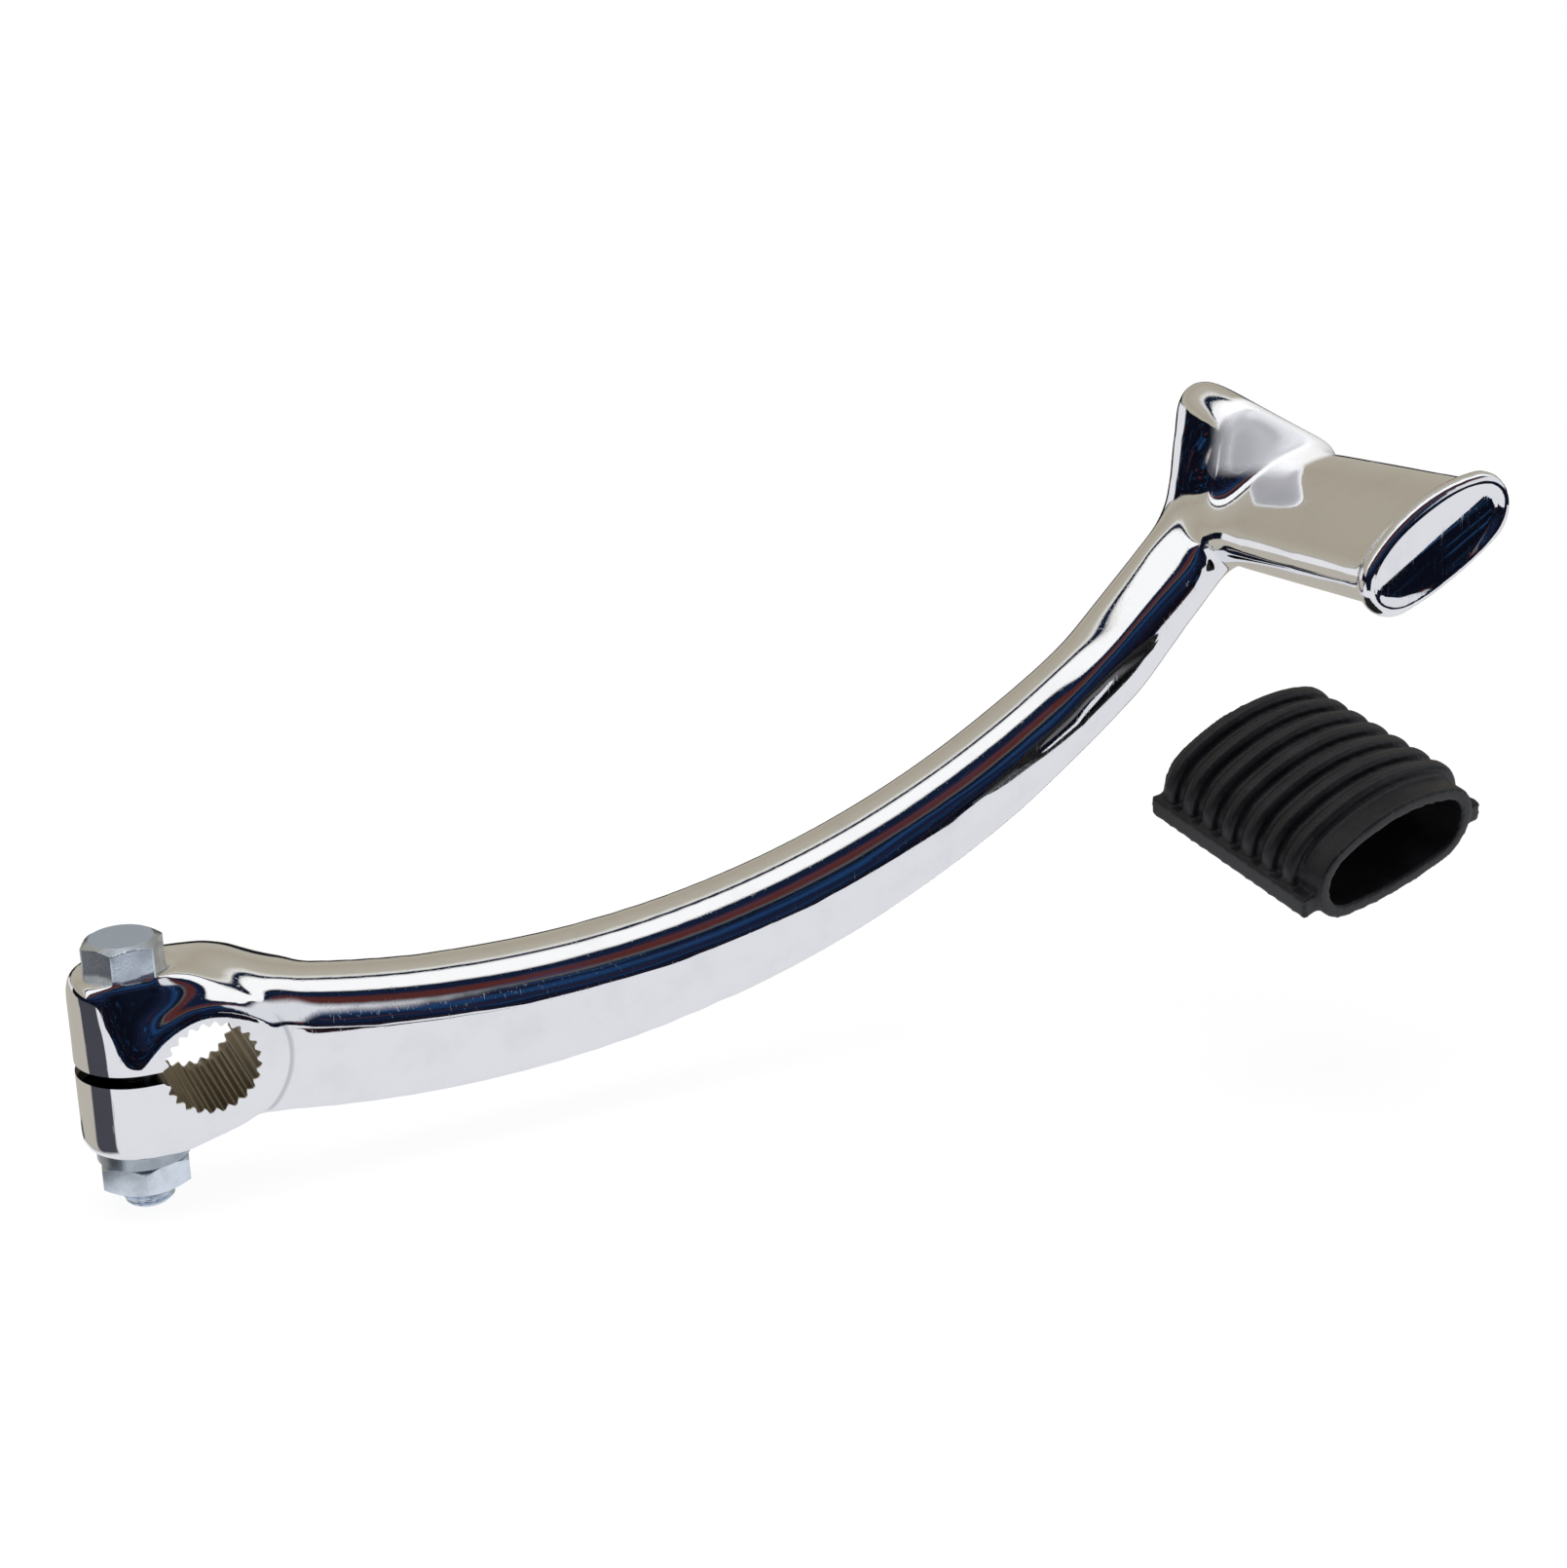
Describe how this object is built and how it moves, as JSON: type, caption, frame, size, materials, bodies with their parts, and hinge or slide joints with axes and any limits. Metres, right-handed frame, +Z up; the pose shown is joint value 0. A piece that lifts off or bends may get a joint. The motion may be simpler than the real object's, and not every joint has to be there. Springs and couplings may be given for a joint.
{
  "type": "scooter kick start lever",
  "caption": "Curved chromed kick start lever with a split, splined clamp held by a pinch bolt and nut, a guarded pedal stub, and its ribbed rubber sleeve lying beside it.",
  "frame": {"origin": "middle of the splined bore, on its axis, half way through the clamp", "axes": "+Y along the bore towards the engine, so the pedal stub points to -Y; +X the way the arm leaves the clamp; +Z up along the pinch bolt towards its head"},
  "size_m": [0.2296, 0.0771, 0.1091],
  "materials": {
    "lever_chrome": "polished chrome with fine scratches",
    "bolt_zinc": "satin bright zinc",
    "washer_zinc": "satin bright zinc",
    "nut_zinc": "satin bright zinc",
    "sleeve_rubber": "semi-matt moulded rubber"
  },
  "bodies": {
    "root": {"lever_arm": "lever_chrome", "pinch_bolt": "bolt_zinc", "spring_washer": "washer_zinc", "pinch_nut": "nut_zinc", "pedal_rubber": "sleeve_rubber"}
  },
  "joints": []
}
